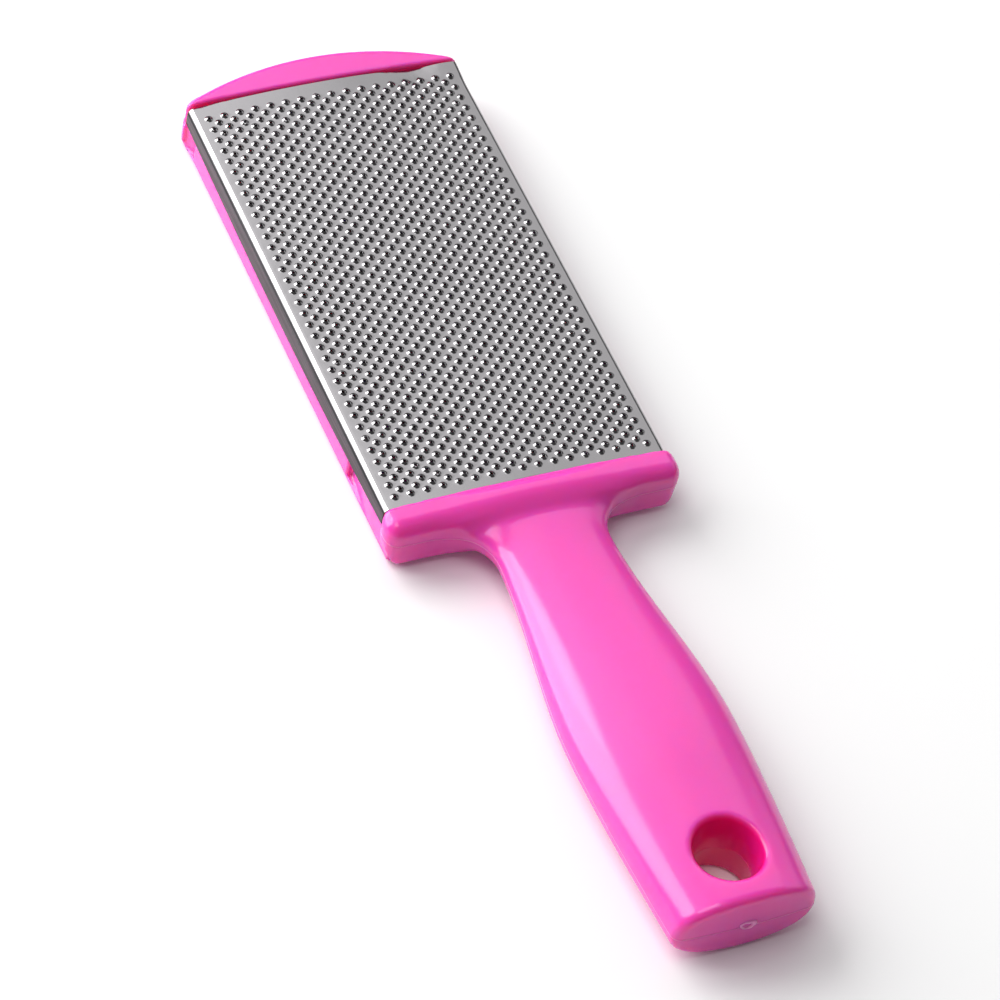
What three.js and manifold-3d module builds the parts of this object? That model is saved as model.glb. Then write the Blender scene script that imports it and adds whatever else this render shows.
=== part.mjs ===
// Foot rasp with a punched steel plate on a one-piece plastic handle, in millimetres.
// +X runs across the tool, +Y from the handle towards the head, +Z up out of the rasp face.
// The origin is under the middle of the tool, on the surface that it rests on.
import * as THREE from "three";
import { mergeVertices } from "three/addons/utils/BufferGeometryUtils.js";
import Module from "manifold-3d";

// ---- Driving dimensions -------------------------------------------------------------
const buttY = -98.5; // middle of the butt's curved end
const barFrontY = -11.1; // handle side of the crossbar
const barRearY = -5.4; // plate side of the crossbar
const capInnerY = 92; // plate side of the end cap
const capRootY = 90.5; // where the cap's ends grow out of the rails, beside the plate
const capApexY = 98.5; // middle of the end cap's curved end
const capRadius = 68;
const barHalfWidth = 28;
const barBottomRim = 2.2; // rounding under the crossbar's handle side
const barTopRim = 4.2; // rounding on top of it, where the thumb lands
const barCorner = 2.8; // plan radius of the crossbar's front corners
const barEndRim = 4.2; // rounding under the crossbar's ends
const slightRim = 0.5;
const capHalfWidth = 27.8;
const capCorner = 3;
const capEndRim = 3.8;
const shoulderRim = 1.5; // rounding from the ends up into the crowned tops
const railHalfWidth = 26.6;

const restZ = 0; // lowest point of the pad and of the handle
const headBottomZ = 0.3;
const plateZ = 9.5; // top of the plate along its long edges
const barTopZ = 10.3; // crossbar top at its ends
const capTopZ = 10.3; // cap top at its ends
const headCrown = 0.9; // how much the crossbar and cap rise in the middle
const gap = 0.3; // clearance between separate pieces

const sheet = 0.4; // plate thickness
const plateHalfWidth = 26.8;
const plateBend = 1.2; // outside radius of the bend into the flange
const flangeEnd = 3.5; // flange depth at the plate's ends
const flangeMiddle = 4.95; // flange depth halfway along
const plateCrownMiddle = 0.29; // rise of the plate's centre line, halfway along
const plateCrownFront = 0.9; // the same at the crossbar
const plateCrownRear = 1.4; // the same at the cap

const padHalfWidth = 22.5;
const padThickness = 1.2;
const padMargin = 3.5; // frame left showing past the pad's ends
const padCorner = 3;
const floorThickness = 1.8; // web between the pad and the hollow bays
const sideWall = 2.2;
const rib = 2;
const bayCorner = 1.5;
const railRim = 0.8; // rounding along the bottom of each rail
const bedRim = 0.4;
const baysAcross = 3;
const baysAlong = 5;

const neckHalfWidth = 10.6;
const neckY = -17.5; // narrowest section
const neckBlend = 8; // plan radius between the neck and the crossbar
const swellHalfWidth = 14.85;
const swellY = -60; // widest section
const buttHalfWidth = 12.9;
const buttBulge = 0.5; // how far the end face curves out in plan
const buttRim = 2; // rounding between the end face and the sides
const rearTaper = 1.6; // how late the sides start to close in towards the butt
const palmY = -70; // where the handle has reached its full height
const bulgeRun = 14; // length over which the sections curve into the butt's bulge
const neckTopZ = 10;
const neckJoinZ = 10.8; // the neck's top climbs to this height inside the crossbar
const neckRiseY = barFrontY - 1.5; // where that climb starts
const neckRiseRun = 4.5;
const handleTopZ = 13.9;
const neckBottomZ = 1;
const partingNeckZ = 6.5; // height of the widest line, at the neck
const partingButtZ = 6.75; // the same at the butt
const sectionPower = 2.35; // 2 is an ellipse, larger is squarer

const holeY = -87.8;
const holeMouth = 6.15; // radius near the top face
const holeWaist = 5.15; // radius at the parting line
const holeExit = 5.6; // radius at the underside
const holeFlare = 0.8; // rounding of the mouth and of the exit

const pocketDepth = 1.2;
const pocketLipZ = 1.1; // thin lip of the rail left below each pocket
const pocketTopZ = 5.5;
const barPocketDeepY = 10; // the rails' pockets are deep at one end and run out to the other
const barPocketFlushY = -0.5;
const capPocketDeepY = 87;
const capPocketFlushY = 91.2;

// ---- Finishes -----------------------------------------------------------------------
const pinkPlastic = new THREE.MeshStandardMaterial({ color: 0xf25ab4, roughness: 0.25, metalness: 0 });
const punchedSteel = new THREE.MeshStandardMaterial({ color: 0xb9b9bb, roughness: 0.3, metalness: 1 });
const fineGrit = new THREE.MeshStandardMaterial({ color: 0x8d8a90, roughness: 0.95, metalness: 0 });

// ---- Solids from geometries ---------------------------------------------------------
const wasm = await Module();
wasm.setup();

function toSolid(geometry) {
  const bare = geometry.clone();
  bare.deleteAttribute("normal");
  bare.deleteAttribute("uv");
  const merged = mergeVertices(bare, 1e-4);
  const vertProperties = new Float32Array(merged.attributes.position.array);
  const triVerts = new Uint32Array(merged.index.array);
  return new wasm.Manifold(new wasm.Mesh({ numProp: 3, vertProperties, triVerts }));
}

function toMesh(name, solid, material) {
  const cut = solid.getMesh();
  const geometry = new THREE.BufferGeometry();
  geometry.setAttribute("position", new THREE.BufferAttribute(new Float32Array(cut.vertProperties), 3));
  geometry.setIndex(new THREE.BufferAttribute(new Uint32Array(cut.triVerts), 1));
  geometry.computeVertexNormals();
  const mesh = new THREE.Mesh(geometry, material);
  mesh.name = name;
  return mesh;
}

// A straight bar of one outline. Along "z" the outline is (x, y), along "y" it is (x, z)
// and along "x" it is (y, z).
function prism(outline, axis, from, to, segments = 8) {
  const across = new THREE.Vector3(1, 0, 0);
  const along = new THREE.Vector3(0, 1, 0);
  const up = new THREE.Vector3(0, 0, 1);
  const turn = new THREE.Matrix4();
  const geometry = new THREE.ExtrudeGeometry(outline, {
    depth: to - from,
    bevelEnabled: false,
    curveSegments: segments,
  });
  geometry.translate(0, 0, from);
  if (axis === "x") {
    geometry.applyMatrix4(turn.makeBasis(along, up, across));
  }
  if (axis === "y") {
    geometry.applyMatrix4(turn.makeBasis(across, up, along));
    turnFacesOver(geometry);
  }
  return toSolid(geometry);
}

// A mirrored geometry has its faces inside out, so its triangles are turned over.
function turnFacesOver(geometry) {
  const position = geometry.attributes.position;
  const first = new THREE.Vector3();
  const last = new THREE.Vector3();
  for (let corner = 0; corner < position.count; corner += 3) {
    first.fromBufferAttribute(position, corner);
    last.fromBufferAttribute(position, corner + 2);
    position.setXYZ(corner, last.x, last.y, last.z);
    position.setXYZ(corner + 2, first.x, first.y, first.z);
  }
}

// A closed skin over rings of equal length, in order along +Y, each anticlockwise in (x, z).
function loft(rings) {
  const count = rings[0].length;
  const positions = rings.flat().flatMap((point) => [point.x, point.y, point.z]);
  const index = [];
  for (let ring = 0; ring + 1 < rings.length; ring += 1) {
    for (let side = 0; side < count; side += 1) {
      const next = (side + 1) % count;
      const near = ring * count;
      const far = near + count;
      index.push(near + side, far + next, near + next);
      index.push(near + side, far + side, far + next);
    }
  }
  const flat = rings[0].map((point) => new THREE.Vector2(point.x, point.z));
  const last = (rings.length - 1) * count;
  for (const [a, b, c] of THREE.ShapeUtils.triangulateShape(flat, [])) {
    index.push(a, b, c);
    index.push(last + a, last + c, last + b);
  }
  const geometry = new THREE.BufferGeometry();
  geometry.setAttribute("position", new THREE.Float32BufferAttribute(positions, 3));
  geometry.setIndex(index);
  return toSolid(geometry);
}

// ---- Outlines -----------------------------------------------------------------------
// A rectangle with its own radius at each corner, from the lower left, anticlockwise.
function roundedRectangle(left, low, right, high, radii) {
  const [lowLeft, lowRight, highRight, highLeft] = radii;
  const outline = new THREE.Shape();
  outline.absarc(left + lowLeft, low + lowLeft, lowLeft, Math.PI, 1.5 * Math.PI, false);
  outline.absarc(right - lowRight, low + lowRight, lowRight, 1.5 * Math.PI, 2 * Math.PI, false);
  outline.absarc(right - highRight, high - highRight, highRight, 0, Math.PI / 2, false);
  outline.absarc(left + highLeft, high - highLeft, highLeft, Math.PI / 2, Math.PI, false);
  return outline;
}

// The front view of the crossbar or cap: a crowned top over a flat bottom.
function crownedOutline(halfWidth, bottom, shoulder, bottomRadius) {
  const outline = new THREE.Shape();
  const arcX = halfWidth - bottomRadius;
  const arcZ = bottom + bottomRadius;
  const crownEnd = halfWidth - shoulderRim;
  const wallTop = shoulder - shoulderRim;
  outline.absarc(-arcX, arcZ, bottomRadius, Math.PI, 1.5 * Math.PI, false);
  outline.absarc(arcX, arcZ, bottomRadius, 1.5 * Math.PI, 2 * Math.PI, false);
  outline.lineTo(halfWidth, wallTop);
  outline.quadraticCurveTo(halfWidth, shoulder, crownEnd, shoulder);
  outline.quadraticCurveTo(0, shoulder + 2 * headCrown, -crownEnd, shoulder);
  outline.quadraticCurveTo(-halfWidth, shoulder, -halfWidth, wallTop);
  outline.closePath();
  return outline;
}

// ---- Crossbar -----------------------------------------------------------------------
function crossbar() {
  const top = barTopZ + 2 * headCrown;
  const sideRims = [barBottomRim, slightRim, slightRim, barTopRim];
  const planRims = [barCorner, barCorner, slightRim, slightRim];
  const side = roundedRectangle(barFrontY, headBottomZ, barRearY + slightRim, top, sideRims);
  const plan = roundedRectangle(-barHalfWidth, barFrontY, barHalfWidth, barRearY, planRims);
  const front = crownedOutline(barHalfWidth, headBottomZ, barTopZ, barEndRim);
  const bar = prism(side, "x", -barHalfWidth, barHalfWidth);
  const planBar = prism(plan, "z", headBottomZ, top);
  const frontBar = prism(front, "y", barFrontY, barRearY);
  return bar.intersect(planBar).intersect(frontBar);
}

// ---- End cap ------------------------------------------------------------------------
function endCap() {
  const centreY = capApexY - capRadius;
  const cornerX = capHalfWidth - capCorner;
  const cornerY = centreY + Math.sqrt((capRadius - capCorner) ** 2 - cornerX ** 2);
  const start = Math.atan2(cornerY - centreY, cornerX);
  const plan = new THREE.Shape();
  plan.moveTo(-capHalfWidth, capRootY);
  plan.lineTo(capHalfWidth, capRootY);
  plan.absarc(cornerX, cornerY, capCorner, 0, start, false);
  plan.absarc(0, centreY, capRadius, start, Math.PI - start, false);
  plan.absarc(-cornerX, cornerY, capCorner, Math.PI - start, Math.PI, false);
  plan.closePath();
  const front = crownedOutline(capHalfWidth, headBottomZ, capTopZ, capEndRim);
  const slab = prism(plan, "z", headBottomZ, capTopZ + 2 * headCrown, 16);
  return slab.intersect(prism(front, "y", capRootY, capApexY));
}

// ---- Plate shape shared by the plate and its seat -----------------------------------
// How far along the plate a section lies, from -1 at the crossbar to 1 at the cap.
function plateStation(y) {
  const middle = (barRearY + capInnerY) / 2;
  return (y - middle) / ((capInnerY - barRearY) / 2);
}

function flangeDepth(y) {
  return flangeMiddle - (flangeMiddle - flangeEnd) * plateStation(y) ** 2;
}

function plateCrown(y) {
  const station = plateStation(y);
  const end = station < 0 ? plateCrownFront : plateCrownRear;
  return plateCrownMiddle + (end - plateCrownMiddle) * station ** 2;
}

// ---- Head bed: rails, ribs and floor ------------------------------------------------
function railSide(y) {
  return plateZ - flangeDepth(y) - gap;
}

// Room beside the bed for one flange: everything above the rail's curved shoulder.
function flangeRebate(side) {
  const steps = 12;
  const low = barRearY - 0.01;
  const high = capInnerY + 0.01;
  const outline = new THREE.Shape();
  outline.moveTo(high, plateZ + 2);
  outline.lineTo(low, plateZ + 2);
  for (let step = 0; step <= steps; step += 1) {
    const y = low + ((high - low) * step) / steps;
    outline.lineTo(y, railSide(y));
  }
  outline.closePath();
  const inner = plateHalfWidth - sheet - gap;
  return side > 0
    ? prism(outline, "x", inner, barHalfWidth + 1)
    : prism(outline, "x", -barHalfWidth - 1, -inner);
}

// Room for the plate between the crossbar and the cap.
function plateSeat() {
  const seat = new THREE.BoxGeometry(2 * barHalfWidth + 2, capInnerY - barRearY, 10);
  seat.translate(0, (capInnerY + barRearY) / 2, plateZ - sheet - gap + 5);
  return toSolid(seat);
}

function hollowBays() {
  const width = (2 * (plateHalfWidth - sheet - gap - sideWall) - rib * (baysAcross - 1)) / baysAcross;
  const length = (capInnerY - barRearY - rib * (baysAlong + 1)) / baysAlong;
  const floor = headBottomZ + padThickness + floorThickness;
  const radii = Array(4).fill(bayCorner);
  const bays = [];
  for (let column = 0; column < baysAcross; column += 1) {
    for (let row = 0; row < baysAlong; row += 1) {
      const x = (column - (baysAcross - 1) / 2) * (width + rib);
      const y = barRearY + rib + length / 2 + row * (length + rib);
      const outline = roundedRectangle(-width / 2, -length / 2, width / 2, length / 2, radii);
      bays.push(prism(outline, "z", floor, plateZ + 2, 2).translate(x, y, 0));
    }
  }
  return wasm.Manifold.union(bays);
}

function headBed() {
  const bedTop = plateZ - sheet - gap;
  const rims = [railRim, railRim, bedRim, bedRim];
  const front = roundedRectangle(-railHalfWidth, headBottomZ, railHalfWidth, bedTop, rims);
  const bed = prism(front, "y", barRearY - 1, capInnerY + 1, 3);
  return bed.subtract(hollowBays());
}

// A ramped pocket above the lip of one rail, deep at one end and flush at the other.
function railPocket(side, deepY, flushY) {
  const face = railHalfWidth * side;
  const floor = (railHalfWidth - pocketDepth) * side;
  const outline = new THREE.Shape();
  outline.moveTo(face + side, deepY);
  outline.lineTo(face, flushY);
  outline.lineTo(floor, deepY);
  outline.closePath();
  return prism(outline, "z", pocketLipZ, pocketTopZ);
}

function padRecess() {
  const low = barRearY + padMargin - gap;
  const high = capInnerY - padMargin + gap;
  const half = padHalfWidth + gap;
  const radii = Array(4).fill(padCorner + gap);
  const outline = roundedRectangle(-half, low, half, high, radii);
  return prism(outline, "z", -1, restZ + padThickness + gap, 4);
}

// ---- Handle -------------------------------------------------------------------------
function smooth(t) {
  const clamped = Math.min(Math.max(t, 0), 1);
  return clamped * clamped * (3 - 2 * clamped);
}

function handleHalfWidth(y) {
  const towardBar = y - (barFrontY - neckBlend);
  if (towardBar > 0) {
    const run = Math.min(towardBar, neckBlend);
    return neckHalfWidth + neckBlend - Math.sqrt(neckBlend ** 2 - run ** 2);
  }
  if (y > swellY) {
    const t = smooth((neckY - y) / (neckY - swellY));
    return neckHalfWidth + (swellHalfWidth - neckHalfWidth) * t;
  }
  const t = (swellY - y) / (swellY - buttY);
  return swellHalfWidth - (swellHalfWidth - buttHalfWidth) * t ** rearTaper;
}

// One section of the handle, pulled in by inset on every side and then shrunk to scale.
function handleRing(y, { inset = 0, push = 0, scale = 1 }) {
  const sides = 32;
  const t = smooth((neckY - y) / (neckY - palmY));
  const middle = partingNeckZ + (partingButtZ - partingNeckZ) * t;
  const width = (handleHalfWidth(y) - inset) * scale;
  const climb = (neckJoinZ - neckTopZ) * smooth((y - neckRiseY) / neckRiseRun);
  const above = (neckTopZ + (handleTopZ - neckTopZ) * t + climb - middle - inset) * scale;
  const below = (middle - neckBottomZ + (neckBottomZ - restZ) * t - inset) * scale;
  const bulge = smooth(1 - (y - buttY - buttRim) / bulgeRun);
  const ring = [];
  for (let side = 0; side < sides; side += 1) {
    const angle = (2 * Math.PI * side) / sides;
    const cos = Math.cos(angle);
    const sin = Math.sin(angle);
    const x = width * Math.sign(cos) * Math.abs(cos) ** (2 / sectionPower);
    const height = sin > 0 ? above : below;
    const z = middle + height * Math.sign(sin) * Math.abs(sin) ** (2 / sectionPower);
    const curve = buttBulge * bulge * (x / buttHalfWidth) ** 2;
    ring.push(new THREE.Vector3(x, y + push + curve, z));
  }
  return ring;
}

function handleBody() {
  const rings = [];
  for (const scale of [0.25, 0.5, 0.75]) {
    rings.push(handleRing(buttY, { inset: buttRim, scale }));
  }
  for (const turn of [0, 0.25, 0.5, 0.75]) {
    const angle = (turn * Math.PI) / 2;
    const inset = buttRim * (1 - Math.sin(angle));
    const push = buttRim * (1 - Math.cos(angle));
    rings.push(handleRing(buttY, { inset, push }));
  }
  const sections = 22;
  const first = buttY + buttRim;
  const last = barFrontY - neckBlend;
  for (let step = 0; step <= sections; step += 1) {
    rings.push(handleRing(first + ((last - first) * step) / sections, {}));
  }
  for (const turn of [0.3, 0.5, 0.65, 0.8, 0.9, 1]) {
    rings.push(handleRing(last + neckBlend * Math.sin((turn * Math.PI) / 2), {}));
  }
  rings.push(handleRing(barFrontY, { push: 3 }));
  return loft(rings);
}

// The hanging hole, drafted both ways from the parting line and flared at both faces.
function hangingHole() {
  const profile = [
    new THREE.Vector2(0, -1),
    new THREE.Vector2(holeExit + 2 * holeFlare, -1),
    new THREE.Vector2(holeExit, restZ + holeFlare),
    new THREE.Vector2(holeWaist, partingButtZ),
    new THREE.Vector2(holeMouth, handleTopZ - 2 * holeFlare),
    new THREE.Vector2(holeMouth + holeFlare, handleTopZ - holeFlare / 4),
    new THREE.Vector2(holeMouth + 2 * holeFlare, handleTopZ + 1),
    new THREE.Vector2(0, handleTopZ + 1),
  ];
  const cutter = new THREE.LatheGeometry(profile, 28);
  cutter.rotateX(Math.PI / 2);
  cutter.translate(0, holeY, 0);
  return toSolid(cutter);
}

// ---- Pieces -------------------------------------------------------------------------
function handleFrame() {
  let frame = wasm.Manifold.union([handleBody(), crossbar(), headBed(), endCap()]);
  for (const side of [-1, 1]) {
    frame = frame.subtract(flangeRebate(side));
    frame = frame.subtract(railPocket(side, barPocketDeepY, barPocketFlushY));
    frame = frame.subtract(railPocket(side, capPocketDeepY, capPocketFlushY));
  }
  frame = frame.subtract(plateSeat());
  frame = frame.subtract(padRecess());
  return frame.subtract(hangingHole());
}

// Half of one skin of the plate, from its lower edge up round the bend and in to the middle.
function plateHalfSkin(y, inset) {
  const steps = 5;
  const bendSteps = 3;
  const flat = plateHalfWidth - plateBend;
  const radius = plateBend - inset;
  const points = [new THREE.Vector3(plateHalfWidth - inset, y, plateZ - flangeDepth(y))];
  for (let step = 0; step <= bendSteps; step += 1) {
    const angle = (step * Math.PI) / 2 / bendSteps;
    const z = plateZ - plateBend + radius * Math.sin(angle);
    points.push(new THREE.Vector3(flat + radius * Math.cos(angle), y, z));
  }
  for (let step = 1; step <= steps; step += 1) {
    const x = flat * (1 - step / steps);
    points.push(new THREE.Vector3(x, y, plateZ - inset + plateCrown(y) * (1 - (x / flat) ** 2)));
  }
  return points;
}

// One section of the plate: the top skin from right to left, then back along the underside.
function plateRing(y) {
  const skin = (inset) => {
    const right = plateHalfSkin(y, inset);
    const left = right.slice(0, -1).map((point) => new THREE.Vector3(-point.x, y, point.z));
    return right.concat(left.reverse());
  };
  return skin(0).concat(skin(sheet).reverse());
}

function raspPlate() {
  const stations = 10;
  const low = barRearY + gap;
  const high = capInnerY - gap;
  const rings = [];
  for (let station = 0; station <= stations; station += 1) {
    rings.push(plateRing(low + ((high - low) * station) / stations));
  }
  return loft(rings);
}

function smoothingPad() {
  const low = barRearY + padMargin;
  const high = capInnerY - padMargin;
  const radii = Array(4).fill(padCorner);
  const outline = roundedRectangle(-padHalfWidth, low, padHalfWidth, high, radii);
  return prism(outline, "z", restZ, restZ + padThickness, 4);
}

const footRasp = new THREE.Group();
footRasp.add(toMesh("handle_frame", handleFrame(), pinkPlastic));
footRasp.add(toMesh("rasp_plate", raspPlate(), punchedSteel));
footRasp.add(toMesh("smoothing_pad", smoothingPad(), fineGrit));

export default footRasp;
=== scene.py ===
# %% [markdown]
# # A foot rasp: punched steel plate on a one-piece pink handle
#
# A foot rasp has very few pieces, so each one has to carry its own detail. The handle, crossbar,
# rails and end cap are a single plastic moulding with soft blends everywhere. The rasp plate is a
# thin sheet that is punched flat and then folded. A fine-grit pad is let into the underside.
#
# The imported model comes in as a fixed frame, and every place below is worked out from it. Lengths
# in the shape code are in millimetres, because the real drawing would be, and `MM` turns them into
# Blender's metres at the last moment.

# %% Load the frame
import math

import bmesh
import bpy
import numpy as np
from mathutils import Matrix, Vector


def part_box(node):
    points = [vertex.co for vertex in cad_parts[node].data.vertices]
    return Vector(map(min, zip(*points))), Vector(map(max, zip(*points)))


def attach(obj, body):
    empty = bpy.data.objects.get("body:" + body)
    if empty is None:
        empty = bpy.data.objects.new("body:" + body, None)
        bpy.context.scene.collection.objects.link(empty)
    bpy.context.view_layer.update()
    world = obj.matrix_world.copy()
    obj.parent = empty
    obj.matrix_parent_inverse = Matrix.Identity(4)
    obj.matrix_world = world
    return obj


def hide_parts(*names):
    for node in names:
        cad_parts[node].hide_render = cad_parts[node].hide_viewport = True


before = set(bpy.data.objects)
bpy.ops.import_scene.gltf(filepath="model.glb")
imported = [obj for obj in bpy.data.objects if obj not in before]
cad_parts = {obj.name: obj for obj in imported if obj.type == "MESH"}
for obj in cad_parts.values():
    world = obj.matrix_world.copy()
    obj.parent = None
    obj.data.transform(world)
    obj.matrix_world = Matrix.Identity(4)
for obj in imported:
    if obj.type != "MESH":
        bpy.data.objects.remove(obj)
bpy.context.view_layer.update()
MM = 0.001

# %% [markdown]
# ## Camera
#
# The tool lies on the floor, rasp face up, and is seen from the left of its handle, well above it.
# A long lens keeps the perspective mild. The camera is turned about its own line of sight, so the
# tool runs from upper left to lower right in the frame. Aim, angles, roll and distance are easier
# to reason about than a bare matrix, so the matrix is built from them.

# %% Camera
CAMERA_AIM = Vector((-6.36, -8.02, 9.5)) * MM
CAMERA_DISTANCE = 748.8 * MM
CAMERA_AZIMUTH = 34.59
CAMERA_ELEVATION = 49.23
CAMERA_ROLL = 15.36
CAMERA_LENS = 157.43
CAMERA_SENSOR = 36


def look(azimuth, elevation, roll):
    """The turn of a camera that looks along +Y when everything is 0."""
    swing = Matrix.Rotation(math.radians(-azimuth), 4, "Z")
    tilt = Matrix.Rotation(math.radians(90 - elevation), 4, "X")
    lean = Matrix.Rotation(math.radians(roll), 4, "Z")
    return swing @ tilt @ lean


camera = bpy.data.objects.new("camera", bpy.data.cameras.new("camera"))
camera.data.lens = CAMERA_LENS
camera.data.sensor_width = CAMERA_SENSOR
camera.data.clip_start = 0.01
turn = look(CAMERA_AZIMUTH, CAMERA_ELEVATION, CAMERA_ROLL)
back_off = turn @ Vector((0, 0, CAMERA_DISTANCE))
camera.matrix_world = Matrix.Translation(CAMERA_AIM + back_off) @ turn
bpy.context.scene.collection.objects.link(camera)
bpy.context.scene.camera = camera
print("camera at, mm:", [round(v / MM, 1) for v in camera.matrix_world.translation])

# %% [markdown]
# ## Shader maths as Python
#
# A material in Blender is a graph of nodes. Wiring every Math node by hand hides the idea, so
# `Wire` wraps one socket and turns `a * b` into a node. Colours and vectors go through Mix and
# Vector Math nodes instead, because a Math node would turn a colour grey.

# %% Wire: one socket with operators
class Wire:
    """An output socket of a node, which can be used in a Python expression."""

    def __init__(self, tree, socket):
        self.tree = tree
        self.socket = socket

    def math(self, operation, *others):
        return self.tree.node(
            "ShaderNodeMath", {"operation": operation}, dict(enumerate((self, *others)))
        )

    def __add__(self, other):
        return self.math("ADD", other)

    def __radd__(self, other):
        return self.math("ADD", other)

    def __sub__(self, other):
        return self.math("SUBTRACT", other)

    def __rsub__(self, other):
        return self.tree.node("ShaderNodeMath", {"operation": "SUBTRACT"}, {0: other, 1: self})

    def __mul__(self, other):
        return self.math("MULTIPLY", other)

    def __rmul__(self, other):
        return self.math("MULTIPLY", other)

    def size(self):
        return self.math("ABSOLUTE")

    def ramp(self, low, high):
        """Moves smoothly from 0 to 1 as the value goes from low to high."""
        return self.tree.node(
            "ShaderNodeMapRange",
            {"interpolation_type": "SMOOTHSTEP"},
            {0: self, 1: low, 2: high, 3: 0.0, 4: 1.0},
        )


class Finish:
    """A material under construction: its node tree and its Principled shader."""

    def __init__(self, name, **constants):
        self.material = bpy.data.materials.new(name)
        self.material.use_nodes = True
        self.nodes = self.material.node_tree.nodes
        self.links = self.material.node_tree.links
        self.shader = self.nodes["Principled BSDF"]
        for socket, value in constants.items():
            self.shader.inputs[socket.replace("_", " ")].default_value = value

    def node(self, kind, settings=None, sockets=None, output=0):
        """Adds one node: its settings first, then the values or wires of its sockets."""
        node = self.nodes.new(kind)
        for name, value in (settings or {}).items():
            setattr(node, name, value)
        for name, value in (sockets or {}).items():
            if isinstance(value, Wire):
                self.links.new(value.socket, node.inputs[name])
            else:
                node.inputs[name].default_value = value
        return Wire(self, node.outputs[output])

    def place(self):
        """The point being shaded, in metres, in the frame that all pieces share."""
        return self.node("ShaderNodeTexCoord", output="Object")

    def parts(self, vector):
        """The x, y and z of a vector wire."""
        split = self.nodes.new("ShaderNodeSeparateXYZ")
        self.links.new(vector.socket, split.inputs[0])
        return [Wire(self, output) for output in split.outputs]

    def stretched(self, x, y, z):
        """The shaded point with each axis scaled, for grain that runs one way."""
        return self.node(
            "ShaderNodeVectorMath", {"operation": "MULTIPLY"}, {0: self.place(), 1: (x, y, z)}
        )

    def noise(self, vector, scale, detail=2.0, roughness=0.5):
        return self.node(
            "ShaderNodeTexNoise",
            {},
            {"Vector": vector, "Scale": scale, "Detail": detail, "Roughness": roughness},
        )

    def blend(self, amount, low, high):
        """A colour that goes from low to high as amount goes from 0 to 1."""
        node = self.nodes.new("ShaderNodeMix")
        node.data_type = "RGBA"
        for name, value in {"Factor": amount, "A": low, "B": high}.items():
            socket = [s for s in node.inputs if s.name == name and s.enabled][0]
            if isinstance(value, Wire):
                self.links.new(value.socket, socket)
            else:
                socket.default_value = value
        return Wire(self, [s for s in node.outputs if s.enabled][0])

    def feed(self, **wires):
        for name, wire in wires.items():
            self.links.new(wire.socket, self.shader.inputs[name.replace("_", " ")])

    def bump(self, height, depth):
        """Feeds a height in metres to the shader's normal."""
        normal = self.node(
            "ShaderNodeBump", {}, {"Strength": 1.0, "Distance": depth, "Height": height}
        )
        self.feed(Normal=normal)


print("shader helpers ready")

# %% [markdown]
# ## Shapes as fields
#
# The moulding has no hard corner: every face runs into the next through a radius that the
# toolmaker cut. Subdivision cages can do this, but a T shape with a hole, a ribbed tray and
# pockets makes a tangled cage. A field is simpler. It is a function that is negative inside the
# plastic and positive outside, and rounded joins and cuts are one line each. A skin of quads is
# then laid on the surface where the field is zero.

# %% Rounded joins and cuts
def meet(a, b, radius):
    """Both shapes at once, with the edge where they meet rounded to radius."""
    corner = np.hypot(np.maximum(a + radius, 0), np.maximum(b + radius, 0))
    return np.minimum(np.maximum(a, b), -radius) + corner


def join(a, b, radius):
    """Either shape, with a fillet of radius in the corner between them."""
    return -meet(-a, -b, radius)


def cut(a, b, radius):
    """The first shape without the second, with the new edge rounded to radius."""
    return meet(a, -b, radius)


def smooth(t):
    """Eases from 0 to 1 as t goes from 0 to 1, and stays level outside."""
    t = np.clip(t, 0, 1)
    return t * t * (3 - 2 * t)


def rounded_rectangle(x, y, half_x, half_y, radius):
    """How far a point is outside a rectangle with round corners, centred on the origin."""
    dx = np.abs(x) - half_x + radius
    dy = np.abs(y) - half_y + radius
    corner = np.hypot(np.maximum(dx, 0), np.maximum(dy, 0))
    return corner + np.minimum(np.maximum(dx, dy), 0) - radius


print("a 2 mm edge, 1 mm inside both faces:", round(float(meet(-1.0, -1.0, 2.0)), 3), "mm")

# %% [markdown]
# ## Driving dimensions of the moulding
#
# The frame says where the plate lies and how long the moulding is. The rest are the toolmaker's
# own sizes, in millimetres.

# %% Dimensions
mould_low, mould_high = [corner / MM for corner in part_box("handle_frame")]
plate_low, plate_high = [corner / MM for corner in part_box("rasp_plate")]
pad_low, pad_high = [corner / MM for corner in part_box("smoothing_pad")]
GAP = 0.3
SHEET = 0.4
BAR_DEPTH = 5.7
BAR_REAR = plate_low.y - GAP
BAR_FRONT = BAR_REAR - BAR_DEPTH
CAP_INNER = plate_high.y + GAP
BUTT = mould_low.y
CAP_APEX = mould_high.y
PLATE_TOP = 9.5
PARTING = 6.45
HEAD_TOP = 10.3
HEAD_BOTTOM = 0.3
HEAD_CROWN = 0.9
HEAD_MIDDLE = (BAR_REAR + CAP_INNER) / 2
HEAD_HALF = (CAP_INNER - BAR_REAR) / 2
print(f"plate space from y {BAR_REAR:.2f} to {CAP_INNER:.2f} mm, butt at {BUTT:.2f} mm")

# %% [markdown]
# ## The handle
#
# In plan the handle is narrow at the neck, swells to fit the palm and narrows a little towards the
# butt. Each section is a superellipse, which is an ellipse pushed towards a rectangle, and the top
# and bottom halves have their own heights. Inside the crossbar the top climbs once more, so the
# fillet between the two stays shallow. Dividing by the slope makes the value close to a true
# distance, so the radii of the joins come out right.

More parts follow.
